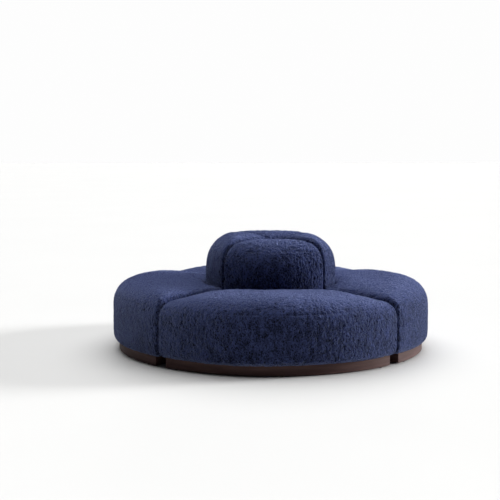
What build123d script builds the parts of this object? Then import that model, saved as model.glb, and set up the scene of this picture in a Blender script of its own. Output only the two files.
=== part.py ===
from build123d import *
from dataclasses import dataclass
import math
import os

# A round sofa of four quarter modules, each a seat with a back lobe at its point.
# Millimetres. The floor is z = 0, the sofa's axis is z, and the front module faces -y.
# Every piece of one module is made facing -y and then copied round the axis by quarter turns.


@dataclass
class Pad:
    """An upholstered quarter pad, from the sofa's middle out to its curved face."""

    radius: float
    height: float
    crest_inset: float
    crown_radius: float
    edge_radius: float
    side_round: float
    foot: float
    bulge: float


# Whole sofa
MODULES = ("front", "right", "rear", "left")
seam_gap = 8.0

# Upholstery. A pad's crown is highest at its crest, crest_inset inside its outer radius.
seat_pad = Pad(
    radius=1000.0,
    height=440.0,
    crest_inset=300.0,
    crown_radius=2400.0,
    edge_radius=137.0,
    side_round=36.0,
    foot=32.0,
    bulge=3.0,
)
back_pad = Pad(
    radius=412.0,
    height=716.0,
    crest_inset=222.0,
    crown_radius=700.0,
    edge_radius=172.0,
    side_round=40.0,
    foot=0.0,
    bulge=4.0,
)
seat_underside = 60.0
tip_round = 46.0
cover_thickness = 4.0
soft_clearance = 0.4

# Plinth and glides
glide_height = 5.0
glide_radius = 9.0
plinth_recess = 34.0
plinth_side_recess = 38.0
plinth_thickness = 20.0
plinth_edge_round = 2.0
corner_glide_angle = 38.0

# Wooden frame
frame_foam = 36.0
frame_side_foam = 40.0
frame_corner_round = 18.0
panel_thickness = 18.0
wall_thickness = 12.0
rail_width = 80.0
deck_height = 290.0
deck_plate_depth = 480.0

# Webbing
strap_width = 50.0
strap_thickness = 1.5
strap_pitch = 105.0
strap_landing = 34.0

# Back frame
back_frame_foam = 92.0
back_frame_side_foam = 58.0
back_frame_headroom = 108.0

# Screws
screw_radius = 2.5
screw_head_radius = 4.8
screw_head_height = 3.0
long_screw = 34.0
short_screw = 16.0
hole_clearance = 0.2
plinth_screw_angle = 22.0
plinth_screw_distances = (280.0, 660.0)
back_screw_point = 150.0
back_screw_reach = 270.0
back_screw_angle = 22.0

# Connectors, steel clips that tie each module to the next
connector_inset = 266.0
connector_height = 33.0
connector_steel = 2.0
connector_clearance = 0.3
jaw_width = 60.0
jaw_depth = 34.0
jaw_flare = 3.0
tongue_width = 44.0
tongue_bite = 18.0
flange_height = 24.0
bracket_foot = 20.0
connector_screw_spread = 30.0
connector_screw_lift = 15.0

# Worked out from the sizes above
HALF = math.sqrt(0.5)
STANDING = (Align.CENTER, Align.CENTER, Align.MIN)
HANGING = (Align.CENTER, Align.CENTER, Align.MAX)
TO_THE_RIGHT = (Align.MIN, Align.CENTER, Align.MIN)
TO_THE_REAR = (Align.CENTER, Align.MIN, Align.MIN)
RIGHT_SEAM = Vector(HALF, -HALF, 0)
INWARD = Vector(-HALF, -HALF, 0)
side_offset = seam_gap / 2
plinth_radius = seat_pad.radius - plinth_recess
connector_distance = plinth_radius - connector_inset
plinth_side = side_offset + plinth_side_recess
frame_radius = seat_pad.radius - frame_foam
frame_side = side_offset + frame_side_foam
frame_bottom = seat_underside + cover_thickness
wall_bottom = frame_bottom + panel_thickness
deck_top = deck_height + panel_thickness
strap_top = deck_top + 2 * strap_thickness
back_frame_radius = back_pad.radius - back_frame_foam
back_frame_side = side_offset + back_frame_side_foam
back_base_top = deck_top + panel_thickness
back_frame_top = back_pad.height - back_frame_headroom


def mirrored(point):
    """The same point on the module's other side."""
    return Vector(-point.X, point.Y, point.Z)


def quarter_wire(z, radius, side, corner):
    """A quarter slice of a disc at height z, its sides a set distance from the seams."""
    up = Vector(0, 0, z)
    reach = math.sqrt((radius - corner) ** 2 - (side + corner) ** 2)
    centre = RIGHT_SEAM * reach + INWARD * (side + corner)
    radial = centre.normalized()
    tip_end = RIGHT_SEAM * (side + corner) + INWARD * side + up
    tip_middle = Vector(0, -(side + corner) / HALF + corner, z)
    corner_start = RIGHT_SEAM * reach + INWARD * side + up
    corner_middle = centre + (radial - INWARD).normalized() * corner + up
    corner_end = radial * radius + up
    return Wire(
        [
            ThreePointArc(mirrored(tip_end), tip_middle, tip_end),
            Line(tip_end, corner_start),
            ThreePointArc(corner_start, corner_middle, corner_end),
            ThreePointArc(corner_end, Vector(0, -radius, z), mirrored(corner_end)),
            ThreePointArc(mirrored(corner_end), mirrored(corner_middle), mirrored(corner_start)),
            Line(mirrored(corner_start), mirrored(tip_end)),
        ]
    )


def quarter_prism(bottom, top, radius, side, corner):
    """A flat-sided block with the outline of quarter_wire."""
    return extrude(Face(quarter_wire(bottom, radius, side, corner)), top - bottom, dir=(0, 0, 1))


def pad_profile(pad, skin, bottom):
    """Half of a turned pad's section: its crown, rounded edge, swelling face and rounded foot."""
    radius = pad.radius - skin
    height = pad.height - skin
    edge = pad.edge_radius - skin
    crown = pad.crown_radius - skin
    foot = pad.foot - skin if pad.foot else 0.0
    crest = pad.radius - pad.crest_inset
    edge_run = radius - edge - crest
    edge_rise = math.sqrt((crown - edge) ** 2 - edge_run**2)
    shoulder = height - crown + edge_rise
    towards_edge = Vector(edge_run, 0, edge_rise).normalized()
    joint = Vector(crest, 0, height - crown) + towards_edge * crown
    edge_middle = Vector(radius - edge, 0, shoulder) + (towards_edge + Vector(1, 0, 0)).normalized() * edge
    inner_top = Vector(0, 0, height - crown + math.sqrt(crown**2 - crest**2))
    low = Vector(radius, 0, bottom + foot)
    waist = Vector(radius + pad.bulge, 0, (shoulder + low.Z) / 2)
    edges = [
        Line((0, 0, bottom), inner_top),
        ThreePointArc(inner_top, (crest, 0, height), joint),
        ThreePointArc(joint, edge_middle, (radius, 0, shoulder)),
        ThreePointArc((radius, 0, shoulder), waist, low),
    ]
    if foot:
        under = Vector(radius - foot * (1 - HALF), 0, bottom + foot * (1 - HALF))
        edges.append(ThreePointArc(low, under, (radius - foot, 0, bottom)))
    edges.append(Line((radius - foot, 0, bottom), (0, 0, bottom)))
    return Face(Wire(edges))


def seam_wedge(side, tip, bottom, top, reach):
    """The space between two seams: two upright sides that meet in a rounded point."""
    tip_end = RIGHT_SEAM * (side + tip) + INWARD * side
    far_end = RIGHT_SEAM * reach + INWARD * side
    outline = Wire(
        [
            ThreePointArc(mirrored(tip_end), (0, -(side + tip) / HALF + tip, 0), tip_end),
            Line(tip_end, far_end),
            Line(far_end, mirrored(far_end)),
            Line(mirrored(far_end), mirrored(tip_end)),
        ]
    )
    return Pos(0, 0, bottom) * extrude(Face(outline), top - bottom, dir=(0, 0, 1))


def pad_form(pad, skin, bottom):
    """A pad's crowned shape, skin millimetres inside its cover's outer face."""
    turned = revolve(pad_profile(pad, skin, bottom), Axis.Z)
    wedge = seam_wedge(side_offset + skin, tip_round, bottom, 2 * pad.height, 2 * pad.radius)
    block = (turned & wedge).solid()
    walls = [face for face in block.faces().filter_by(GeomType.PLANE) if abs(face.normal_at().Z) < HALF]
    walls.append(block.faces().sort_by(Axis.Y)[-1])
    outline = [edge for wall in walls for edge in wall.edges()]
    rim = []
    for edge in outline:
        shared = sum(edge.is_same(other) for other in outline) > 1
        on_base = edge.bounding_box().max.Z < bottom + 1
        if not shared and (pad.foot or not on_base):
            rim.append(edge)
    return block.fillet(pad.side_round - skin, rim)


def board_ring(bottom, top, radius, side, corner, thickness):
    """A curved front board and two side boards that meet at the module's point."""
    outer = quarter_prism(bottom, top, radius, side, corner)
    inner_corner = max(corner - thickness, 1.0)
    inner = quarter_prism(bottom, top, radius - thickness / 2, side + thickness, inner_corner)
    height = top - bottom
    disc = Pos(0, 0, bottom) * Cylinder(radius - thickness, height, align=STANDING)
    right_half = Pos(0, 0, bottom) * Box(radius, 2 * radius, height, align=TO_THE_RIGHT)
    sides = (outer & disc) - inner
    return outer - disc, [sides & right_half, sides - right_half]


def polar(distance, angle, z=0.0):
    """A point at an angle from the module's middle line."""
    turn = math.radians(angle)
    return Vector(distance * math.sin(turn), -distance * math.cos(turn), z)


def along_side(distance, offset, z, right):
    """A point beside one of the module's seams."""
    point = RIGHT_SEAM * distance + INWARD * offset + Vector(0, 0, z)
    return point if right else mirrored(point)


def screw(length, clearance=0.0):
    """A flat-headed screw pointing down, the underside of its head at z = 0."""
    shank = Cylinder(screw_radius + clearance, length + clearance, align=HANGING)
    head = Cylinder(screw_head_radius + clearance, screw_head_height + clearance, align=STANDING)
    return shank + head


def placed_screws(clearance=0.0):
    """Every screw of a module: plinth to base frame, deck to back frame, and the connectors."""
    ring = plinth_radius - plinth_thickness / 2
    sunk = wall_bottom - screw_head_height
    spots = [polar(ring, angle, sunk) for angle in (-plinth_screw_angle, 0.0, plinth_screw_angle)]
    for distance in plinth_screw_distances:
        for right in (True, False):
            spots.append(along_side(distance, plinth_side + plinth_thickness / 2, sunk, right))
    placed = [Location(spot) * screw(long_screw, clearance) for spot in spots]

    flush = deck_height + screw_head_height
    outer_spots = [polar(back_screw_reach, angle, flush) for angle in (-back_screw_angle, back_screw_angle)]
    for spot in (Vector(0, -back_screw_point, flush), *outer_spots):
        placed.append(Location(spot) * Rotation(180, 0, 0) * screw(long_screw, clearance))

    across = connector_screw_spread / 2
    lift = connector_screw_lift
    for plane, heights in ((jaw_plane(), (lift, -lift)), (tongue_plane(), (lift,))):
        for height in heights:
            for x in (-across, across):
                seat = Pos(x, connector_steel, height) * Rotation(-90, 0, 0)
                placed.append(plane * seat * screw(short_screw, clearance))
    return placed


def jaw_plane():
    """On the right plinth board's outer face, y towards the next module."""
    origin = along_side(connector_distance, plinth_side, connector_height, True)
    return Plane(origin=origin, x_dir=RIGHT_SEAM, z_dir=(0, 0, 1))


def tongue_plane():
    """On the left plinth board's outer face, y towards the next module."""
    origin = along_side(connector_distance, plinth_side, connector_height, False)
    return Plane(origin=origin, x_dir=Vector(HALF, HALF, 0), z_dir=(0, 0, 1))


def steel_profile(points, width):
    """A bent steel plate from its outline in the y-z plane."""
    outline = Plane.YZ * make_face(Polyline(*points, close=True))
    return Pos(-width / 2, 0, 0) * extrude(outline, width, dir=(1, 0, 0))


def connector_jaw():
    """A clip of two flanged lips, flared at the mouth and open at both ends."""
    gap = connector_steel / 2 + connector_clearance
    steel = connector_steel
    mouth = jaw_depth + 2 * jaw_flare
    upper = steel_profile(
        [
            (0, gap),
            (jaw_depth, gap),
            (mouth, gap + jaw_flare),
            (mouth, gap + jaw_flare + steel),
            (jaw_depth, gap + steel),
            (steel, gap + steel),
            (steel, flange_height),
            (0, flange_height),
        ],
        jaw_width,
    )
    return [jaw_plane() * upper, jaw_plane() * mirror(upper, about=Plane.XY)]


def connector_tongue():
    """A flat steel tongue under an angle bracket, its free corners cut off for an easy lead-in."""
    steel = connector_steel
    reach = 2 * plinth_side - jaw_depth + tongue_bite
    plate = Pos(0, 0, -steel / 2) * Box(tongue_width, reach, steel, align=TO_THE_REAR)
    free_corners = plate.edges().filter_by(Axis.Z).group_by(Axis.Y)[-1]
    low = steel / 2
    bracket = steel_profile(
        [
            (0, low),
            (bracket_foot, low),
            (bracket_foot, low + steel),
            (steel, low + steel),
            (steel, flange_height),
            (0, flange_height),
        ],
        tongue_width,
    )
    return [tongue_plane() * chamfer(free_corners, tongue_bite / 3), tongue_plane() * bracket]


def webbing():
    """Elastic straps over the deck's opening, the cross straps lying on the long ones."""
    straps = []
    edge = strap_width / 2
    opening_radius = frame_radius - rail_width
    opening_corner = (frame_side + rail_width) / HALF
    count = int(opening_radius * HALF / strap_pitch) - 1
    for x in [step * strap_pitch for step in range(-count, count + 1)]:
        near = max(abs(x) - edge + opening_corner, deck_plate_depth)
        far = math.sqrt(opening_radius**2 - max(abs(x) - edge, 0) ** 2)
        length = far - near + 2 * strap_landing
        strap = Box(strap_width, length, strap_thickness, align=(Align.CENTER, Align.MAX, Align.MIN))
        straps.append(Pos(x, strap_landing - near, deck_top) * strap)
    y = deck_plate_depth + strap_pitch / 2
    while y + edge < opening_radius:
        half = min(y + edge - opening_corner, math.sqrt(opening_radius**2 - (y - edge) ** 2))
        strap = Box(2 * (half + strap_landing), strap_width, strap_thickness, align=STANDING)
        straps.append(Pos(0, -y, deck_top + strap_thickness) * strap)
        y += strap_pitch
    return straps


def glides():
    """Round pads under the plinth: one at its point and three along its curved board."""
    ring = plinth_radius - plinth_thickness / 2
    spots = [polar(ring, angle) for angle in (-corner_glide_angle, 0, corner_glide_angle)]
    spots.append(Vector(0, -(plinth_side + plinth_thickness / 2) / HALF, 0))
    return [Location(spot) * Cylinder(glide_radius, glide_height, align=STANDING) for spot in spots]


def plinth(holes):
    """The stained boards that the module stands on."""
    front, sides = board_ring(
        glide_height, frame_bottom, plinth_radius, plinth_side, plinth_edge_round, plinth_thickness
    )
    return {"plinth_front": [front - holes], "plinth_sides": [board - holes for board in sides]}


def wooden_frame(holes):
    """The seat's hidden frame: a base ring, upright walls and a deck that carries the webbing."""
    opening_radius = frame_radius - rail_width
    opening_side = frame_side + rail_width
    corner = frame_corner_round

    base = quarter_prism(frame_bottom, wall_bottom, frame_radius, frame_side, corner)
    base -= quarter_prism(frame_bottom, wall_bottom, opening_radius, opening_side, corner)

    front_wall, side_walls = board_ring(
        wall_bottom, deck_height, frame_radius, frame_side, corner, wall_thickness
    )
    inside = quarter_prism(
        wall_bottom, deck_height, frame_radius - wall_thickness, frame_side + wall_thickness, corner
    )
    rib = Box(2 * frame_radius, panel_thickness, deck_height - wall_bottom, align=TO_THE_REAR)
    rib = Pos(0, -deck_plate_depth, wall_bottom) * rib & inside

    deck = quarter_prism(deck_height, deck_top, frame_radius, frame_side, corner)
    opening = quarter_prism(deck_height, deck_top, opening_radius, opening_side, corner)
    plate = Box(2 * frame_radius, frame_radius, panel_thickness, align=TO_THE_REAR)
    opening -= Pos(0, -deck_plate_depth, deck_height) * plate
    return {
        "base_frame": [base - holes],
        "frame_walls": [front_wall, *side_walls, rib],
        "deck_frame": [deck - opening - holes],
    }


def back_frame(holes):
    """The box inside the back: a base board, a curved wall, two side walls and a top board."""
    outline = (back_frame_radius, back_frame_side, frame_corner_round)
    wall_top = back_frame_top - panel_thickness
    base = quarter_prism(deck_top, back_base_top, *outline)
    top_board = quarter_prism(wall_top, back_frame_top, *outline)
    front_wall, side_walls = board_ring(back_base_top, wall_top, *outline, wall_thickness)
    return [base - holes, front_wall, *side_walls, top_board]


def upholstery():
    """Foam and covers. Each cover is a bag open below, and hugs the foam under it."""
    skin = cover_thickness
    foam_skin = cover_thickness + soft_clearance
    corner = frame_corner_round
    plinth_space = quarter_prism(
        0, frame_bottom, plinth_radius + soft_clearance, plinth_side - soft_clearance, plinth_edge_round
    )
    frame_space = quarter_prism(
        0, strap_top + soft_clearance, frame_radius + soft_clearance, frame_side - soft_clearance, corner
    )
    back_frame_space = quarter_prism(
        deck_top,
        back_frame_top + soft_clearance,
        back_frame_radius + soft_clearance,
        back_frame_side - soft_clearance,
        corner,
    )
    back_space = pad_form(back_pad, -soft_clearance, deck_top - soft_clearance)
    seat_bag = pad_form(seat_pad, 0.0, seat_underside) - pad_form(seat_pad, skin, frame_bottom)
    seat_foam = pad_form(seat_pad, foam_skin, frame_bottom + soft_clearance)
    back_bag = pad_form(back_pad, 0.0, deck_top) - pad_form(back_pad, skin, deck_top - skin)
    back_foam = pad_form(back_pad, foam_skin, deck_top + soft_clearance)
    return {
        "seat_cover": [seat_bag - plinth_space - back_space],
        "seat_foam": [seat_foam - frame_space - back_space],
        "back_cover": [back_bag],
        "back_foam": [back_foam - back_frame_space],
    }


def module_parts():
    """Every piece of the module that faces -y, by name."""
    holes = placed_screws(hole_clearance)
    return {
        **plinth(holes),
        **wooden_frame(holes),
        **upholstery(),
        "back_frame": back_frame(holes),
        "webbing": webbing(),
        "glides": glides(),
        "screws": placed_screws(),
        "connector_jaw": [lip - holes for lip in connector_jaw()],
        "connector_tongue": [plate - holes for plate in connector_tongue()],
    }


os.makedirs("parts", exist_ok=True)
for piece, shapes in module_parts().items():
    solids = [solid for shape in shapes for solid in shape.solids()]
    for quarter, module in enumerate(MODULES):
        turned = [Rotation(0, 0, 90 * quarter) * solid for solid in solids]
        export_step(Compound(turned), f"parts/{module}_{piece}.step")
    print(piece, "solids", len(solids), "volume", round(sum(solid.volume for solid in solids)))
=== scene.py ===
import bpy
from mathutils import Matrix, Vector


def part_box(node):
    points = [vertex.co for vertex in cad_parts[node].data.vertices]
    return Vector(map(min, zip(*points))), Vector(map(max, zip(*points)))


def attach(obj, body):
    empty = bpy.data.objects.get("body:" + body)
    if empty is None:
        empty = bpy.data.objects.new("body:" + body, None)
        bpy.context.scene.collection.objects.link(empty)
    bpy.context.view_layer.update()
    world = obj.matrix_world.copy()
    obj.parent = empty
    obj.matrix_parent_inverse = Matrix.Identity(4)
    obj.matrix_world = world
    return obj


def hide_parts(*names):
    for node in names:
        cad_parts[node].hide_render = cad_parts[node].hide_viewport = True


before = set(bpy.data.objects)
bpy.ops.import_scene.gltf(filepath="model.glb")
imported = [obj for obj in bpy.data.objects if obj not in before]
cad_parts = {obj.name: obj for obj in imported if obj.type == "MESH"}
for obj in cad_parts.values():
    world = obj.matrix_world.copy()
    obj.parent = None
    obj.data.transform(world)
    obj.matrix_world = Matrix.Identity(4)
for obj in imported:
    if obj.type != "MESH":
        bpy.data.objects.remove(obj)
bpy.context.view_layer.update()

# %% Python modules and the four modules of the sofa
import functools
import math

import bmesh
import bpy
import numpy as np
from mathutils import Vector

QUARTER_TURNS = {"front": 0, "right": 1, "rear": 2, "left": 3}
scene = bpy.context.scene
print("modules of the sofa", list(QUARTER_TURNS))

# %% [markdown]
# ## Camera
# The photograph looks slightly down on the sofa from seven metres away, a little to the left of
# the front module's middle. A long lens from far off keeps the near and far rims alike in size.
# %% Place the camera
CAMERA_PLACE = (-0.464, -6.985, 1.367)
CAMERA_PITCH = 6.19
CAMERA_TURN = 2.73
CAMERA_LENS = 79.3

camera = bpy.data.objects.new("camera", bpy.data.cameras.new("camera"))
camera.data.lens = CAMERA_LENS
camera.location = CAMERA_PLACE
camera.rotation_euler = (math.radians(90 - CAMERA_PITCH), 0, math.radians(-CAMERA_TURN))
scene.collection.objects.link(camera)
scene.camera = camera
scene.view_settings.view_transform = "Standard"
print("camera", tuple(camera.location))

# %% [markdown]
# ## Light
# Behind the sofa the studio is a white sweep of paper, and behind the camera no light stands, so
# the faces turned to the camera stay dark. One very wide light hangs over the sofa, a little to
# the rear. A low one stands on the right: it rakes over the pile, so each curl on the right half
# catches it, and throws a long soft shadow to the left. The paper is seen white from every side,
# but lights the sofa only from behind: the world asks each ray whether it is the camera's own.
# %% Hang the two lights
LAMP_DISTANCE = 5


def wide_light(name, towards, spread, strength):
    """A far light that comes from a direction, with soft shadows as from a wide source."""
    light = bpy.data.lights.new(name, "SUN")
    light.angle = math.radians(spread)
    light.energy = strength
    lamp = bpy.data.objects.new(name, light)
    lamp.location = Vector(towards) * LAMP_DISTANCE
    lamp.rotation_euler = (-Vector(towards)).to_track_quat("-Z", "Y").to_euler()
    scene.collection.objects.link(lamp)
    return lamp


key = wide_light("key", towards=(1.0, 0.20, 0.24), spread=15, strength=4.9)
overhead = wide_light("overhead", towards=(0.06, 0.46, 1.0), spread=80, strength=3.7)
print("key", tuple(key.location), "overhead", tuple(overhead.location))

# %% Put the white paper round the studio
BACKDROP_WHITE = 0.985
STUDIO_GLOW = 0.05
WHITE_UP_TO, DIM_FROM = 0.14, 0.26
WHITE_WITHIN, DIM_OUTSIDE = 0.88, 0.70


def world_ramp(nodes, links, value, from_min, from_max, to_min, to_max):
    """A Map Range node from one range of values to another."""
    ramp = nodes.new("ShaderNodeMapRange")
    for socket, number in zip(ramp.inputs[1:5], (from_min, from_max, to_min, to_max)):
        socket.default_value = number
    links.new(value, ramp.inputs[0])
    return ramp.outputs[0]


def studio_surround():
    """A world that is seen white all round, and gives light only from low behind the sofa."""
    world = bpy.data.worlds.new("studio")
    world.use_nodes = True
    nodes, links = world.node_tree.nodes, world.node_tree.links
    direction = nodes.new("ShaderNodeTexCoord")
    split = nodes.new("ShaderNodeSeparateXYZ")
    links.new(direction.outputs["Generated"], split.inputs["Vector"])
    low = world_ramp(nodes, links, split.outputs["Z"], WHITE_UP_TO, DIM_FROM, 1, 0)
    behind = world_ramp(nodes, links, split.outputs["Y"], DIM_OUTSIDE, WHITE_WITHIN, 0, 1)
    both = nodes.new("ShaderNodeMath")
    both.operation = "MULTIPLY"
    links.new(low, both.inputs[0])
    links.new(behind, both.inputs[1])
    ray = nodes.new("ShaderNodeLightPath")
    seen = nodes.new("ShaderNodeMath")
    seen.operation = "MAXIMUM"
    links.new(both.outputs[0], seen.inputs[0])
    links.new(ray.outputs["Is Camera Ray"], seen.inputs[1])
    shade = world_ramp(nodes, links, seen.outputs[0], 0, 1, STUDIO_GLOW, BACKDROP_WHITE)
    links.new(shade, nodes["Background"].inputs["Color"])
    return world


scene.world = studio_surround()
print("world", scene.world.name)

# %% Lay the floor
FLOOR_SIZE = 80.0
bpy.ops.mesh.primitive_plane_add(size=FLOOR_SIZE, location=(0, 0, 0))
floor = bpy.context.object
floor.name = "floor"
floor.data.name = "floor"
print("floor", FLOOR_SIZE, "m wide")

# %% [markdown]
# ## The shape of a pad
# Seat and back are both wedges of foam under a taut cover. Each is drawn as upright sections that
# fan out from the wedge's point, like the pages of a book. A section knows how far each of its
# points is from the nearest seam and falls away as it gets close, so the seams become soft
# valleys. The edges are superellipses: a fullness of 2 is a quarter circle, and more is squarer.
# The covers are cut squarer towards the seams, and the lobes are a little wider there, so the
# fullness and the radius each have a value for the middle and one for the seams. The seat's cover
# also goes round the frame under the lobe, down to the plinth: its section has a step there, which
# the lobe stands on, so a module that is pushed away shows a covered side and no bare frame.
# %% Describe the two pads
SEAT = dict(
    radius=0.999, seam_radius=0.992, height=0.430, base=0.061,
    inner=0.416, inner_round=0.012, core=0.030, step=0.326,
    edge_run=0.150, edge_drop=0.152, edge_full=2.20, seam_full=3.0, dip=0.026,
    shoulder_run=0.200, shoulder_drop=0.010, side_run=0.026, side_drop=0.022,
    corner=0.014, foot=0.040, side_foot=0.024,
    turns=36, top=22, edge=14, face=11, under=6,
)
BACK = dict(
    radius=0.410, seam_radius=0.440, height=0.711, base=0.328,
    inner=0.014, inner_round=0.002, core=0.014, step=None,
    edge_run=0.208, edge_drop=0.215, edge_full=2.25, seam_full=3.2, dip=0.030,
    shoulder_run=0.120, shoulder_drop=0.004, side_run=0.036, side_drop=0.028,
    corner=0.012, foot=0.004, side_foot=0.004,
    turns=26, top=18, edge=22, face=12, under=2,
)
print("seat", SEAT["height"], "m high; back", BACK["height"], "m high")

# %% Measure from the wedge's point, and round an edge
HALF_WEDGE = math.radians(45)
SEAM_SIDE = 0.004
APEX = SEAM_SIDE * math.sqrt(2)
QUARTER_CIRCLE = 2.0
SOFT_ROUND = 2.2


def rounded(distance, run, drop, fullness=SOFT_ROUND):
    """How far a rounded edge falls at a distance inside the edge, and nothing past its run."""
    share = np.clip(1 - distance / run, 0, 1)
    return drop * (1 - (1 - share**fullness) ** (1 / fullness))


def reach_at(radius, turn):
    """How far a circle round the sofa's axis is from the wedge's own point."""
    return math.sqrt(radius**2 - (APEX * math.sin(turn)) ** 2) - APEX * math.cos(turn)


print("the seat reaches", round(reach_at(SEAT["radius"], 0.0), 4), "m from its point")

# %% Draw one section of a pad
TOP_SPACING = 1.15
UNDER_STEPS = 5
WALL_STEPS = 5
SHELF_STEPS = 4
RISER_STEPS = 3


def section_line(out, up):
    """Points (out, up). Either may be one number for the whole line."""
    return np.stack(np.broadcast_arrays(out, up), 1)


def pad_section(pad, turn):
    """Points (out, up) round one section, out being measured from the wedge's point."""
    beside = math.sin(HALF_WEDGE - abs(turn))
    to_seam = (abs(turn) / HALF_WEDGE) ** 2
    full = pad["edge_full"] + (pad["seam_full"] - pad["edge_full"]) * to_seam
    reach = reach_at(pad["radius"] + (pad["seam_radius"] - pad["radius"]) * to_seam, turn)
    reach -= rounded(reach * beside, pad["corner"], pad["corner"], QUARTER_CIRCLE)
    inner = reach_at(pad["inner"], turn)
    core = reach_at(pad["core"], turn)
    crest = reach - pad["edge_run"]

    def surface(out, below):
        away = out * beside
        shoulder = pad["shoulder_drop"] * np.clip(1 - away / pad["shoulder_run"], 0, 1) ** 2
        valley = rounded(away, pad["side_run"], pad["side_drop"])
        mouth = rounded(out - inner, pad["inner_round"], pad["inner_round"])
        return pad["height"] - below - shoulder - valley - mouth

    # The top from the lobe or the axis out to the crest, then the rounded front edge.
    share = np.linspace(0, 1, pad["top"], endpoint=False)
    out = inner + (crest - inner) * share**TOP_SPACING
    top = section_line(out, surface(out, pad["dip"] * (1 - share) ** 2))
    angle = np.linspace(0, math.pi / 2, pad["edge"])
    out = crest + pad["edge_run"] * np.sin(angle) ** (2 / full)
    below = pad["edge_drop"] * (1 - np.cos(angle) ** (2 / full))
    edge = section_line(out, surface(out, below))

    # The upright face, the rounded foot, and the underside back to the wedge's point.
    low = pad["base"] + rounded(reach * beside, pad["side_foot"], pad["side_foot"])
    foot_top = low + pad["foot"]
    face = section_line(reach, np.linspace(edge[-1, 1], foot_top, pad["face"] + 1)[1:])
    angle = np.linspace(0, math.pi / 2, pad["under"] + 1)[1:]
    foot_out = reach - pad["foot"] * (1 - np.cos(angle))
    foot = section_line(foot_out, foot_top - pad["foot"] * np.sin(angle))
    under = section_line(np.linspace(foot[-1, 0], core, UNDER_STEPS)[1:], low)

    # Up again at the point, and for the seat over the step that the lobe stands on.
    wall_top = top[0, 1] if pad["step"] is None else pad["step"]
    wall = section_line(core, np.linspace(low, wall_top, WALL_STEPS)[1:-1])
    lines = [top, edge, face, foot, under, wall]
    if pad["step"] is not None:
        lines.append(section_line(np.linspace(core, inner, SHELF_STEPS), wall_top))
        lines.append(section_line(inner, np.linspace(wall_top, top[0, 1], RISER_STEPS)[1:-1]))
    return np.concatenate(lines)


for name, pad in (("seat", SEAT), ("back", BACK)):
    print(name, "section has", len(pad_section(pad, 0.0)), "points")

# %% Choose where the sections stand
ROUNDING_SECTIONS = 8


def pad_turns(pad):
    """The sections' angles, close together where the pad rounds over towards its seams."""
    middle = (pad["inner"] + pad["radius"]) / 2
    steps = np.linspace(0, math.pi / 2, ROUNDING_SECTIONS)
    beside = pad["side_run"] * (1 - np.sin(steps))
    close = HALF_WEDGE - np.arcsin(beside / middle)
    flat = np.linspace(0, close[0], pad["turns"], endpoint=False)
    half = np.concatenate([flat, close])
    return np.concatenate([-half[:0:-1], half])


print("sections:", len(pad_turns(SEAT)), "seat,", len(pad_turns(BACK)), "back")

# %% Join the sections into a closed pad
CAP_RINGS = (0.86, 0.66, 0.42, 0.18)


def pad_mesh(name, pad):
    """A closed mesh. Its two seam sides are filled by rings that shrink to a point."""
    rows = []
    for turn in pad_turns(pad):
        out, up = pad_section(pad, turn).T
        rows.append(np.stack([out * math.sin(turn), -APEX - out * math.cos(turn), up], 1))
    count = len(rows[0])
    points = list(np.concatenate(rows))
    faces = []

    def band(first, second):
        for column in range(count):
            after = (column + 1) % count
            faces.append((first[column], second[column], second[after], first[after]))

    loops = [[row * count + column for column in range(count)] for row in range(len(rows))]
    for first, second in zip(loops, loops[1:]):
        band(first, second)
    for row in (0, len(rows) - 1):
        ring, middle = loops[row], rows[row].mean(0)
        for shrink in CAP_RINGS:
            start = len(points)
            points.extend(middle + (rows[row] - middle) * shrink)
            inner_ring = list(range(start, start + count))
            band(ring, inner_ring)
            ring = inner_ring
        points.append(middle)
        for column in range(count):
            faces.append((ring[column], len(points) - 1, ring[(column + 1) % count]))
    mesh = bpy.data.meshes.new(name)
    mesh.from_pydata([tuple(point) for point in points], [], faces)
    shape = bmesh.new()
    shape.from_mesh(mesh)
    bmesh.ops.recalc_face_normals(shape, faces=shape.faces)
    shape.to_mesh(mesh)
    shape.free()
    return mesh


seat_shape = pad_mesh("seat_shape", SEAT)
back_shape = pad_mesh("back_shape", BACK)
print("seat", len(seat_shape.polygons), "faces; back", len(back_shape.polygons), "faces")

# %% [markdown]
# ## Tension in the cover
# A real cover is a little tight over its foam, so faces swell and edges stay. Blender's cloth does
# that: the pad is blown up for twenty frames with gravity off, its underside held, and no point
# may move further than a set cap. The result is written back to the mesh.
# %% Read and write a mesh's points
def read_vectors(mesh, what):
    """A vector of each vertex as an array: its place, "co", or its "normal"."""
    values = np.zeros(len(mesh.vertices) * 3)
    mesh.vertices.foreach_get(what, values)
    return values.reshape(-1, 3)


def move_points(mesh, points):
    """Puts the mesh's points where the array says."""
    mesh.vertices.foreach_set("co", points.ravel())
    mesh.update()


print("highest point of the seat", round(read_vectors(seat_shape, "co")[:, 2].max(), 4))

# %% Blow up a pad as cloth
CLOTH_FRAMES = 20
CLOTH_QUALITY = 6
CLOTH_MASS = 0.4
CLOTH_PRESSURE = 4.0
CLOTH_STIFFNESS = 400
CLOTH_SUPPLENESS = 4
CLOTH_DAMPING = 20
SEAT_HELD_BELOW, SEAT_SWELL = 0.075, 0.007
BACK_HELD_BELOW, BACK_SWELL = 0.36, 0.006
SMALLEST_MOVE = 1e-9


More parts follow.
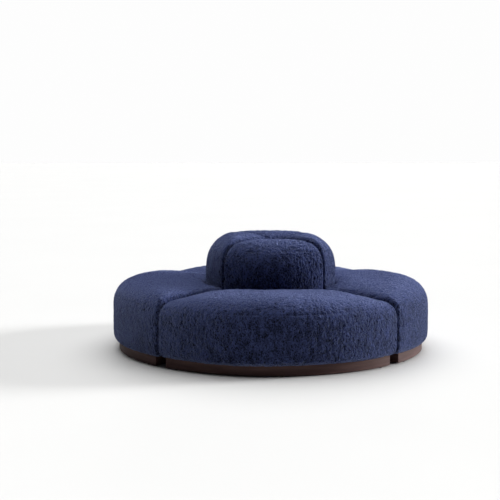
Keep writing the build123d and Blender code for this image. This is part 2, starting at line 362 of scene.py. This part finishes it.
def blown_up(mesh, held_below, cap):
    """Simulates the pad as inflated cloth and moves its points by at most cap metres."""
    piece = bpy.data.objects.new("cloth", mesh)
    scene.collection.objects.link(piece)
    before = read_vectors(mesh, "co")
    held = piece.vertex_groups.new(name="held")
    low = [int(index) for index in np.nonzero(before[:, 2] < held_below)[0]]
    held.add(low, 1.0, "REPLACE")
    modifier = piece.modifiers.new("cloth", "CLOTH")
    cloth = modifier.settings
    cloth.vertex_group_mass = "held"
    cloth.quality = CLOTH_QUALITY
    cloth.mass = CLOTH_MASS
    cloth.tension_stiffness = cloth.compression_stiffness = CLOTH_STIFFNESS
    cloth.shear_stiffness = cloth.bending_stiffness = CLOTH_STIFFNESS / CLOTH_SUPPLENESS
    cloth.tension_damping = cloth.compression_damping = cloth.shear_damping = CLOTH_DAMPING
    cloth.use_pressure = True
    cloth.uniform_pressure_force = CLOTH_PRESSURE
    cloth.effector_weights.gravity = 0
    modifier.point_cache.frame_start = 1
    modifier.point_cache.frame_end = CLOTH_FRAMES
    for number in range(1, CLOTH_FRAMES + 1):
        scene.frame_set(number)
    graph = bpy.context.evaluated_depsgraph_get()
    moved = read_vectors(piece.evaluated_get(graph).data, "co") - before
    length = np.linalg.norm(moved, axis=1, keepdims=True)
    moved *= cap * np.tanh(length / cap) / np.maximum(length, SMALLEST_MOVE)
    bpy.data.objects.remove(piece)
    scene.frame_set(1)
    move_points(mesh, before + moved)
    return float(length.max()), float(np.linalg.norm(moved, axis=1).max())


print("seat moved, capped", blown_up(seat_shape, SEAT_HELD_BELOW, SEAT_SWELL))
print("back moved, capped", blown_up(back_shape, BACK_HELD_BELOW, BACK_SWELL))

# %% [markdown]
# ## Lumps, seam and pile
# Foam is never quite even, so slow noise moves the surface by a few millimetres. A sewn seam runs
# round the seat where its top panel meets the band, and pulls in a fine groove. The pile is made
# of curls about a centimetre long that gather in clumps about two centimetres wide. Both are
# ridged noise, pushed out along the normals. The curls are drawn out downwards, as the pile hangs
# on upright faces, and the clumps stand higher on top than on the faces.
# %% Smooth noise on a set of points
LATTICE = 64
SEED_SHIFT = 7.31


def soft_noise(points, size, seed, stretch=1.0):
    """Noise from -1 to 1 that changes over about size metres, and over stretch times that in z."""
    grid = np.random.default_rng(seed).uniform(-1, 1, (LATTICE, LATTICE, LATTICE))
    place = points / (np.array([1, 1, stretch]) * size) + seed * SEED_SHIFT
    cell = np.floor(place).astype(int)
    part = place - cell
    part = part * part * (3 - 2 * part)
    total = np.zeros(len(points))
    for corner in np.ndindex(2, 2, 2):
        index = (cell + corner) % LATTICE
        weight = np.prod(np.where(corner, part, 1 - part), axis=1)
        total += weight * grid[index[:, 0], index[:, 1], index[:, 2]]
    return total


def ridged(noise):
    """Noise folded into ridges: 1 along the lines where it was 0, and down to -1 elsewhere."""
    return 1 - 2 * np.abs(noise)


print("noise repeats after", LATTICE, "times its size")

# %% Smooth subdivision
SUBDIVISION = 2


def subdivided(mesh, levels):
    """The mesh after smooth subdivision."""
    holder = bpy.data.objects.new("holder", mesh)
    scene.collection.objects.link(holder)
    modifier = holder.modifiers.new("smooth", "SUBSURF")
    modifier.levels = levels
    graph = bpy.context.evaluated_depsgraph_get()
    finished = bpy.data.meshes.new_from_object(holder.evaluated_get(graph), depsgraph=graph)
    bpy.data.objects.remove(holder)
    return finished


dense_shapes = {
    "seat": subdivided(seat_shape, SUBDIVISION),
    "back": subdivided(back_shape, SUBDIVISION),
}
print("dense seat", len(dense_shapes["seat"].polygons), "faces")

# %% Raise the relief
LUMPS = ((0.30, 0.0040), (0.14, 0.0018), (0.055, 0.0007))
CURLS = ((0.0118, 0.0017), (0.0080, 0.0015))
CURL_STRETCH = 2.0
WARP_SIZE, CURL_WARP = 0.022, 0.005
CLUMP_SIZE, CLUMP_DEPTH, CLUMP_UPRIGHT = 0.021, 0.0024, 0.4
SEAM_HEIGHT, SEAM_WIDTH, SEAM_DEPTH = 0.352, 0.005, 0.0048
WANDER_SIZE, WANDER_DEPTH = 0.12, 0.002
SEAM_FULL_BELOW, SEAM_GONE_FROM = 0.25, 0.875
WARP_SEED, CURL_SEED, CLUMP_SEED, WANDER_SEED = 5, 10, 15, 20


def sewn_seam(points, normals, seed):
    """How deep the seam pulls each point in: a thin line round the upright faces."""
    fade = (SEAM_GONE_FROM - np.abs(normals[:, 2])) / (SEAM_GONE_FROM - SEAM_FULL_BELOW)
    wander = WANDER_DEPTH * soft_noise(points, WANDER_SIZE, seed + WANDER_SEED)
    away = (points[:, 2] - SEAM_HEIGHT - wander) / SEAM_WIDTH
    return SEAM_DEPTH * np.clip(fade, 0, 1) * np.exp(-(away**2))


def raise_relief(mesh, seed, seam):
    """Moves the points along their normals, and keeps the pile's height and upward turn."""
    points, normals = read_vectors(mesh, "co"), read_vectors(mesh, "normal")
    lift = np.zeros(len(points))
    for number, (size, depth) in enumerate(LUMPS):
        lift += depth * soft_noise(points, size, seed + number)
    warp = [soft_noise(points, WARP_SIZE, seed + WARP_SEED + axis) for axis in range(3)]
    place = points + CURL_WARP * np.stack(warp, 1)
    pile = np.zeros(len(points))
    for number, (size, depth) in enumerate(CURLS):
        pile += depth * ridged(soft_noise(place, size, seed + CURL_SEED + number, CURL_STRETCH))
    upward = np.clip(normals[:, 2], 0, 1)
    clump_depth = CLUMP_DEPTH * (CLUMP_UPRIGHT + (1 - CLUMP_UPRIGHT) * upward)
    pile += clump_depth * ridged(soft_noise(place, CLUMP_SIZE, seed + CLUMP_SEED))
    if seam:
        lift -= sewn_seam(points, normals, seed)
    move_points(mesh, points + normals * (lift + pile)[:, None])
    highest = sum(depth for _, depth in CURLS) + clump_depth
    # The height later darkens the colour in the relief's hollows: painted shade.
    # The upward turn later paints the tops lighter and the upright faces darker: painted light and
    # painted shade.
    for name, value in (("pile_height", 0.5 + 0.5 * pile / highest), ("painted_top_light", upward)):
        attribute = mesh.attributes.new(name, "FLOAT", "POINT")
        attribute.data.foreach_set("value", np.clip(value, 0, 1))


print("curls stand up to", sum(depth for _, depth in CURLS), "m out")

# %% [markdown]
# ## Sag
# No two cushions are filled alike. In the photograph the front seat falls away most, towards both
# of its seams, the left one keeps its height beside the front one, and the front lobe is a little
# lower than the others. So each seat has a sag for its left and its right seam, as seen from its
# own front, and each lobe has one sag.
# %% Let seats and lobes sag
SEAT_SAG = {
    "front": (0.038, 0.051),
    "right": (0.028, 0.034),
    "rear": (0.030, 0.040),
    "left": (0.027, 0.004),
}
LOBE_SAG = {"front": 0.018, "right": 0.002, "rear": 0.0, "left": 0.0}
SAG_FROM, SAG_OVER = 0.36, 0.50
SAG_CURVE = 1.5


def height_share(points, pad):
    """The square of how far up the pad each point is: 0 at its base and 1 at its top."""
    return np.clip((points[:, 2] - pad["base"]) / (pad["height"] - pad["base"]), 0, 1) ** 2


def sag_seat(mesh, left, right):
    """Lowers the unturned seat's top towards its two seams, most at the rim."""
    points = read_vectors(mesh, "co")
    turn = np.arctan2(points[:, 0], -points[:, 1]) / HALF_WEDGE
    depth = np.where(turn > 0, right, left) * np.abs(turn) ** SAG_CURVE
    outwards = np.clip((np.hypot(points[:, 0], points[:, 1]) - SAG_FROM) / SAG_OVER, 0, 1)
    points[:, 2] -= depth * outwards * height_share(points, SEAT)
    move_points(mesh, points)


def sag_lobe(mesh, depth):
    """Lowers the lobe's top and not its base."""
    points = read_vectors(mesh, "co")
    points[:, 2] -= depth * height_share(points, BACK)
    move_points(mesh, points)


print("deepest sag of a seat", max(max(pair) for pair in SEAT_SAG.values()), "m")

# %% [markdown]
# ## The eight pads
# One seat and one lobe are turned into four of each. Every copy has its own sag and its own seeds,
# so no two show the same lumps and curls. Swell and relief can push a pad over the seam into its
# neighbour, so points that come within a millimetre of the seam's middle are put back. The seats
# are filled a little tighter than the backs.
# %% Turn a copy, and keep its seams clear
SEAM_CLEAR = 0.001


def turned_copy(mesh, quarter_turns):
    """A copy of the mesh turned round the sofa's axis."""
    copy = mesh.copy()
    turn = math.radians(90 * quarter_turns)
    points = read_vectors(copy, "co")
    x = points[:, 0] * math.cos(turn) - points[:, 1] * math.sin(turn)
    y = points[:, 0] * math.sin(turn) + points[:, 1] * math.cos(turn)
    move_points(copy, np.stack([x, y, points[:, 2]], 1))
    return copy


def keep_clear(mesh, quarter_turns):
    """Puts back the points that lie over the module's seams. The pad is then flat there."""
    points = read_vectors(mesh, "co")
    turn = math.radians(90 * quarter_turns)
    ahead_way = np.array([math.sin(turn), -math.cos(turn), 0])
    aside_way = np.array([math.cos(turn), math.sin(turn), 0])
    ahead, aside = points @ ahead_way, points @ aside_way
    push = np.clip(SEAM_CLEAR - (ahead - np.abs(aside)) / math.sqrt(2), 0, None) / math.sqrt(2)
    points += push[:, None] * (ahead_way - np.sign(aside)[:, None] * aside_way)
    move_points(mesh, points)
    return float(push.max())


# %% Make the eight padded pieces
PAD_SEEDS = {"seat": 100, "back": 500}
SEED_STEP = 40
padded = []
for kind, dense in dense_shapes.items():
    for module, quarter_turns in QUARTER_TURNS.items():
        shaped = dense.copy()
        if kind == "seat":
            sag_seat(shaped, *SEAT_SAG[module])
        else:
            sag_lobe(shaped, LOBE_SAG[module])
        mesh = turned_copy(shaped, quarter_turns)
        bpy.data.meshes.remove(shaped)
        raise_relief(mesh, PAD_SEEDS[kind] + SEED_STEP * quarter_turns, kind == "seat")
        pushed = keep_clear(mesh, quarter_turns)
        mesh.shade_smooth()
        piece = bpy.data.objects.new(f"{module}_{kind}", mesh)
        scene.collection.objects.link(piece)
        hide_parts(f"{module}_{kind}_cover", f"{module}_{kind}_foam")
        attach(piece, f"{module}_module")
        padded.append(piece)
    print(kind, "faces each", len(dense.polygons), "last pushed back by", round(pushed, 4))

# %% [markdown]
# ## Shader helpers
# An effect such as grain is a node group: it is built once and put in each material that needs it,
# with that material's own values. It gives out only colours and heights. The Principled shader,
# and every value that is the same all over a surface, stays in the material.
# %% Make materials and groups
def set_sockets(node, values):
    """Sets a node's own inputs by their names."""
    for socket, value in values.items():
        node.inputs[socket].default_value = value


def feed(links, socket, value):
    """Links another node's output into the socket, or sets a number or colour on it."""
    if isinstance(value, bpy.types.NodeSocket):
        links.new(value, socket)
    else:
        socket.default_value = value


def new_material(name, values):
    """A node material, its nodes and links, and its Principled shader with these values."""
    material = bpy.data.materials.new(name)
    material.use_nodes = True
    tree = material.node_tree
    shader = tree.nodes["Principled BSDF"]
    set_sockets(shader, values)
    return material, tree.nodes, tree.links, shader


def new_group(name, inputs, outputs):
    """A shader group with float, colour or vector sockets, and its end nodes."""
    group = bpy.data.node_groups.new(name, "ShaderNodeTree")
    for socket, kind, value in inputs:
        made = group.interface.new_socket(name=socket, in_out="INPUT", socket_type=kind)
        if value is not None:
            made.default_value = value
    for socket, kind in outputs:
        group.interface.new_socket(name=socket, in_out="OUTPUT", socket_type=kind)
    start = group.nodes.new("NodeGroupInput")
    end = group.nodes.new("NodeGroupOutput")
    return group, group.nodes, group.links, start, end


# %% Make the nodes that every material uses
def math_node(nodes, links, operation, *values, clamp=False):
    """A Math node on outputs or numbers, and its own output."""
    node = nodes.new("ShaderNodeMath")
    node.operation = operation
    node.use_clamp = clamp
    for index, value in enumerate(values):
        feed(links, node.inputs[index], value)
    return node.outputs[0]


def noise_node(nodes, links, vector, scale, detail, distortion=0.0):
    """A Noise Texture node. Its scale may come from another node's output."""
    node = nodes.new("ShaderNodeTexNoise")
    set_sockets(node, {"Detail": detail, "Distortion": distortion})
    feed(links, node.inputs["Scale"], scale)
    links.new(vector, node.inputs["Vector"])
    return node


def stretched(nodes, links, vector, factors):
    """The vector times a factor for each axis."""
    node = nodes.new("ShaderNodeVectorMath")
    node.operation = "MULTIPLY"
    node.inputs[1].default_value = factors
    links.new(vector, node.inputs[0])
    return node.outputs[0]


def mix_colour(nodes, links, factor, first, second):
    """A colour Mix node's result."""
    node = nodes.new("ShaderNodeMix")
    node.data_type = "RGBA"
    for index, value in ((0, factor), (6, first), (7, second)):
        feed(links, node.inputs[index], value)
    return node.outputs[2]


def bump_node(nodes, links, height, strength, distance, shader):
    """A Bump node that feeds the shader's normal."""
    bump = nodes.new("ShaderNodeBump")
    set_sockets(bump, {"Strength": strength, "Distance": distance})
    links.new(height, bump.inputs["Height"])
    links.new(bump.outputs["Normal"], shader.inputs["Normal"])


# %% [markdown]
# ## Boucle
# The cloth has a short pile of curled yarn. Where the curls and the mesh relief are low its colour
# goes to nearly black, which is painted shade in their hollows, and the curls' tips are a greyer,
# lighter blue. Seen along the surface only tips show, so the tops of the seats look pale: a sheen
# does that. The group makes the curls finer than the mesh can, with the same long shape. It lays
# broad patches and small tufts over them, where the pile leans another way. Faces that look up
# are painted lighter and upright faces darker: painted light and painted shade.
# %% Values of the curled pile
CURL_DRAW = (1.0, 1.0, 0.5)
BEND_SCALE = 45.0
BEND_BY = (0.012, 0.012, 0.012)
FIBRE_SCALE = 290.0
CURL_RIDGE, FIBRE_RIDGE = 5.0, 4.0
CURL_SHARE, FIBRE_SHARE = 0.65, 0.35
GROUP_SHARE, MESH_SHARE = 0.85, 0.25
PATCH_SCALE, PATCH_LEAN = 5.0, 0.4
TUFT_SCALE, TUFT_LEAN = 32.0, 0.9
TIP_FROM, TIP_GAIN = 0.28, 1.7
print("fibres", FIBRE_SCALE / TUFT_SCALE, "times finer than tufts")

# %% The curled pile group
def pile_group():
    """Curled pile: a colour with painted shade and painted light in it, and a height for bump."""
    group, nodes, links, start, end = new_group(
        "curled_pile",
        [
            ("Vector", "NodeSocketVector", None),
            ("Root Shade", "NodeSocketColor", (0.0, 0.0, 0.0, 1)),
            ("Tip", "NodeSocketColor", (1.0, 1.0, 1.0, 1)),
            ("Curl Scale", "NodeSocketFloat", 100.0),
            ("Mesh Pile", "NodeSocketFloat", 0.5),
            ("Mesh Up", "NodeSocketFloat", 0.0),
            ("Top Painted Light", "NodeSocketFloat", 1.0),
            ("Sharpness", "NodeSocketFloat", 2.0),
            ("Upright Painted Shade", "NodeSocketFloat", 1.0),
        ],
        [("Color", "NodeSocketColor"), ("Height", "NodeSocketFloat")],
    )
    given = start.outputs
    calc = functools.partial(math_node, nodes, links)
    noise = functools.partial(noise_node, nodes, links)
    drawn = stretched(nodes, links, given["Vector"], CURL_DRAW)
    bend = nodes.new("ShaderNodeVectorMath")
    bend.operation = "MULTIPLY_ADD"
    bend.inputs[1].default_value = BEND_BY
    links.new(noise(drawn, BEND_SCALE, 1.0).outputs["Color"], bend.inputs[0])
    links.new(drawn, bend.inputs[2])
    curls = noise(bend.outputs[0], given["Curl Scale"], 1.0)
    fibres = noise(bend.outputs[0], FIBRE_SCALE, 1.5)
    patches = noise(given["Vector"], PATCH_SCALE, 2.0)
    tufts = noise(drawn, TUFT_SCALE, 2.0)

    def ridge(source, sharp, share):
        away = calc("ABSOLUTE", calc("SUBTRACT", source.outputs["Fac"], 0.5))
        inside = calc("SUBTRACT", 1.0, calc("MULTIPLY", away, sharp), clamp=True)
        return calc("MULTIPLY", inside, share)

    def lean(source, depth):
        return calc("MULTIPLY", calc("SUBTRACT", source.outputs["Fac"], 0.5), depth)

    big = ridge(curls, CURL_RIDGE, CURL_SHARE)
    height = calc("ADD", big, ridge(fibres, FIBRE_RIDGE, FIBRE_SHARE))
    # Where the curls and the mesh relief are low the colour goes to the root: painted shade in
    # their hollows.
    from_mesh = calc("MULTIPLY", given["Mesh Pile"], MESH_SHARE)
    tip = calc("ADD", calc("MULTIPLY", height, GROUP_SHARE), from_mesh)
    tip = calc("MULTIPLY", calc("SUBTRACT", tip, TIP_FROM), TIP_GAIN)
    leaning = calc("ADD", lean(patches, PATCH_LEAN), lean(tufts, TUFT_LEAN))
    # Faces that look up take more of the tip colour, painted light, and upright faces less of it,
    # painted shade.
    up = calc("MULTIPLY", given["Mesh Up"], given["Top Painted Light"])
    sharp = calc("SUBTRACT", given["Sharpness"], up)
    tip = calc("POWER", calc("ADD", tip, leaning, clamp=True), sharp)
    painted_upright_shade = nodes.new("ShaderNodeMapRange")
    links.new(given["Mesh Up"], painted_upright_shade.inputs["Value"])
    links.new(given["Upright Painted Shade"], painted_upright_shade.inputs["To Min"])
    tip = calc("MULTIPLY", tip, painted_upright_shade.outputs["Result"])
    links.new(mix_colour(nodes, links, tip, given["Root Shade"], given["Tip"]), end.inputs["Color"])
    links.new(height, end.inputs["Height"])
    return group


curled_pile = pile_group()
print("group", curled_pile.name)

# %% The boucle material
# The root colour is nearly black: it is the painted shade between the curls.
PILE_ROOT_SHADE = (0.0015, 0.002, 0.008, 1)
PILE_TIP = (0.076, 0.101, 0.262, 1)
SHEEN_TINT = (0.50, 0.60, 1.0, 1)


def boucle_material():
    """Navy curled pile with a pale sheen."""
    material, nodes, links, shader = new_material("boucle", {
        "Roughness": 1.0, "Specular IOR Level": 0.10,
        "Sheen Weight": 0.70, "Sheen Roughness": 0.18, "Sheen Tint": SHEEN_TINT,
    })
    place = nodes.new("ShaderNodeTexCoord")
    pile = nodes.new("ShaderNodeGroup")
    pile.node_tree = curled_pile
    # Two of these values paint the tops lighter and the upright faces darker: painted light and
    # painted shade.
    set_sockets(pile, {
        "Root Shade": PILE_ROOT_SHADE, "Tip": PILE_TIP, "Curl Scale": 150.0,
        "Top Painted Light": 2.3, "Sharpness": 2.8, "Upright Painted Shade": 0.70,
    })
    for socket, attribute in (("Mesh Pile", "pile_height"), ("Mesh Up", "painted_top_light")):
        from_mesh = nodes.new("ShaderNodeAttribute")
        from_mesh.attribute_name = attribute
        links.new(from_mesh.outputs["Fac"], pile.inputs[socket])
    links.new(place.outputs["Object"], pile.inputs["Vector"])
    links.new(pile.outputs["Color"], shader.inputs["Base Color"])
    bump_node(nodes, links, pile.outputs["Height"], 1.0, 0.006, shader)
    return material


boucle = boucle_material()
for piece in padded:
    piece.data.materials.append(boucle)
print("boucle on", len(padded), "pieces")

# %% [markdown]
# ## Wood
# The plinth is dark stained wood whose grain runs along each board, round the curve at the front
# and straight along the seams. Round the curve the grain's coordinate is the angle about the
# sofa's axis. It is measured from a seam, so it has no jump in the middle of a board. The grain is
# a broad flame with fine pores in it, and both are much longer than they are wide.
# %% The wood grain group
FLAME = dict(stretch=(1.0, 14.0, 14.0), scale=2.2, detail=3.0)
PORES = dict(stretch=(1.0, 30.0, 30.0), scale=9.0, detail=2.0)
GRAIN_DISTORTION = 0.4
FLAME_FROM, FLAME_GAIN = 0.3, 2.2
PORES_FROM, PORES_GAIN = 0.35, 2.4
PORES_SHADE = 0.6


def grain_group():
    """Wood grain along x of its vector: a colour, and a height for bump."""
    group, nodes, links, start, end = new_group(
        "wood_grain",
        [
            ("Vector", "NodeSocketVector", None),
            ("Dark", "NodeSocketColor", (0.02, 0.01, 0.01, 1)),
            ("Light", "NodeSocketColor", (0.06, 0.04, 0.03, 1)),
        ],
        [("Color", "NodeSocketColor"), ("Height", "NodeSocketFloat")],
    )
    calc = functools.partial(math_node, nodes, links)

    def layer(kind, lowest, gain):
        drawn = stretched(nodes, links, start.outputs["Vector"], kind["stretch"])
        grain = noise_node(nodes, links, drawn, kind["scale"], kind["detail"], GRAIN_DISTORTION)
        return calc("MULTIPLY", calc("SUBTRACT", grain.outputs["Fac"], lowest), gain, clamp=True)

    flame = layer(FLAME, FLAME_FROM, FLAME_GAIN)
    pores = layer(PORES, PORES_FROM, PORES_GAIN)
    shade = calc("ADD", calc("MULTIPLY", pores, PORES_SHADE), 1 - PORES_SHADE)
    tone = calc("MULTIPLY", flame, shade)
    colour = mix_colour(nodes, links, tone, start.outputs["Dark"], start.outputs["Light"])
    links.new(colour, end.inputs["Color"])
    links.new(pores, end.inputs["Height"])
    return group


wood_grain = grain_group()
print("group", wood_grain.name)

# %% Coordinates along curved and straight boards
SEAM_ANGLE = 45


def turned_place(nodes, links, degrees):
    """The object's coordinates turned about the upright axis."""
    place = nodes.new("ShaderNodeTexCoord")
    turned = nodes.new("ShaderNodeVectorRotate")
    turned.rotation_type = "Z_AXIS"
    turned.inputs["Angle"].default_value = math.radians(degrees)
    links.new(place.outputs["Object"], turned.inputs["Vector"])
    return turned.outputs["Vector"]


def along_curve(nodes, links, radius):
    """A vector whose x runs round the sofa's axis, in metres at the radius."""
    split = nodes.new("ShaderNodeSeparateXYZ")
    joined = nodes.new("ShaderNodeCombineXYZ")
    links.new(turned_place(nodes, links, -SEAM_ANGLE), split.inputs["Vector"])
    angle = math_node(nodes, links, "ARCTAN2", split.outputs["Y"], split.outputs["X"])
    links.new(math_node(nodes, links, "MULTIPLY", angle, radius), joined.inputs["X"])
    links.new(split.outputs["Z"], joined.inputs["Z"])
    return joined.outputs["Vector"]


PLINTH_RADIUS = -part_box("front_plinth_front")[0][1]
print("plinth radius", round(PLINTH_RADIUS, 3))

# %% Wooden materials
STAIN_DARK, STAIN_LIGHT = (0.053, 0.027, 0.025, 1), (0.140, 0.080, 0.073, 1)
PLY_DARK, PLY_LIGHT = (0.36, 0.23, 0.12, 1), (0.66, 0.50, 0.33, 1)


def wood_material(name, curved, dark, light, roughness, coat):
    """Wood with its grain round curved boards, or straight along those at the seams."""
    material, nodes, links, shader = new_material(name, {
        "Roughness": roughness, "Specular IOR Level": 0.12,
        "Coat Weight": coat, "Coat Roughness": 0.35,
    })
    grain = nodes.new("ShaderNodeGroup")
    grain.node_tree = wood_grain
    set_sockets(grain, {"Dark": dark, "Light": light})
    if curved:
        place = along_curve(nodes, links, PLINTH_RADIUS)
    else:
        place = turned_place(nodes, links, SEAM_ANGLE)
    links.new(place, grain.inputs["Vector"])
    links.new(grain.outputs["Color"], shader.inputs["Base Color"])
    bump_node(nodes, links, grain.outputs["Height"], 0.35, 0.0006, shader)
    return material


curved_stain = wood_material("stained_wood_curved", True, STAIN_DARK, STAIN_LIGHT, 0.6, 0.02)
straight_stain = wood_material("stained_wood_straight", False, STAIN_DARK, STAIN_LIGHT, 0.6, 0.02)
plywood = wood_material("plywood", False, PLY_DARK, PLY_LIGHT, 0.65, 0.0)
print("wood", [material.name for material in (curved_stain, straight_stain, plywood)])

# %% [markdown]
# ## Webbing, felt and steel
# These lie out of sight under the seats. The straps are woven so finely that they read as a dark
# grain, the glides are pressed felt, and the clips are zinc plated, with the faint cloudy spangle
# that zinc has. All three are one fine noise at different sizes.
# %% Hidden materials
SPECKLE_ROUGHNESS = 0.2


def speckled_material(name, dark, light, scale, roughness, metallic, depth):
    """A surface of fine grain: woven straps, felt or zinc."""
    material, nodes, links, shader = new_material(name, {"Metallic": metallic})
    place = nodes.new("ShaderNodeTexCoord")
    grain = noise_node(nodes, links, place.outputs["Object"], scale, 3.0).outputs["Fac"]
    links.new(mix_colour(nodes, links, grain, dark, light), shader.inputs["Base Color"])
    rougher = math_node(nodes, links, "MULTIPLY", grain, SPECKLE_ROUGHNESS)
    links.new(math_node(nodes, links, "ADD", rougher, roughness), shader.inputs["Roughness"])
    bump_node(nodes, links, grain, 0.5, depth, shader)
    return material


webbing = speckled_material(
    "webbing", dark=(0.01, 0.01, 0.01, 1), light=(0.06, 0.06, 0.065, 1),
    scale=400.0, roughness=0.8, metallic=0.0, depth=0.0006,
)
felt = speckled_material(
    "felt", dark=(0.03, 0.028, 0.026, 1), light=(0.10, 0.095, 0.09, 1),
    scale=700.0, roughness=0.85, metallic=0.0, depth=0.0005,
)
zinc = speckled_material(
    "zinc_steel", dark=(0.42, 0.43, 0.45, 1), light=(0.70, 0.71, 0.73, 1),
    scale=60.0, roughness=0.25, metallic=1.0, depth=0.0001,
)
print("hidden finishes", [material.name for material in (webbing, felt, zinc)])

# %% Finish the nodes of the frame
FINISHES = {
    "plinth_front": curved_stain, "plinth_sides": straight_stain, "base_frame": plywood,
    "frame_walls": plywood, "deck_frame": plywood, "back_frame": plywood, "webbing": webbing,
    "glides": felt, "screws": zinc, "connector_jaw": zinc, "connector_tongue": zinc,
}
for module in QUARTER_TURNS:
    for part, material in FINISHES.items():
        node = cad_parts[f"{module}_{part}"]
        node.data.materials.clear()
        node.data.materials.append(material)
print("finished", len(FINISHES) * len(QUARTER_TURNS), "nodes")

# %% Paint the floor
FLOOR_DARK, FLOOR_LIGHT = (0.642, 0.642, 0.636, 1), (0.667, 0.667, 0.662, 1)
FLOOR_CLOUDS = 0.8


def floor_material():
    """Pale satin paint, a little uneven."""
    material, nodes, links, shader = new_material(
        "floor_paint", {"Roughness": 0.55, "Specular IOR Level": 0.3}
    )
    place = nodes.new("ShaderNodeTexCoord")
    cloud = noise_node(nodes, links, place.outputs["Object"], FLOOR_CLOUDS, 3.0).outputs["Fac"]
    colour = mix_colour(nodes, links, cloud, FLOOR_DARK, FLOOR_LIGHT)
    links.new(colour, shader.inputs["Base Color"])
    return material


floor.data.materials.append(floor_material())
print("floor in", floor.data.materials[0].name)
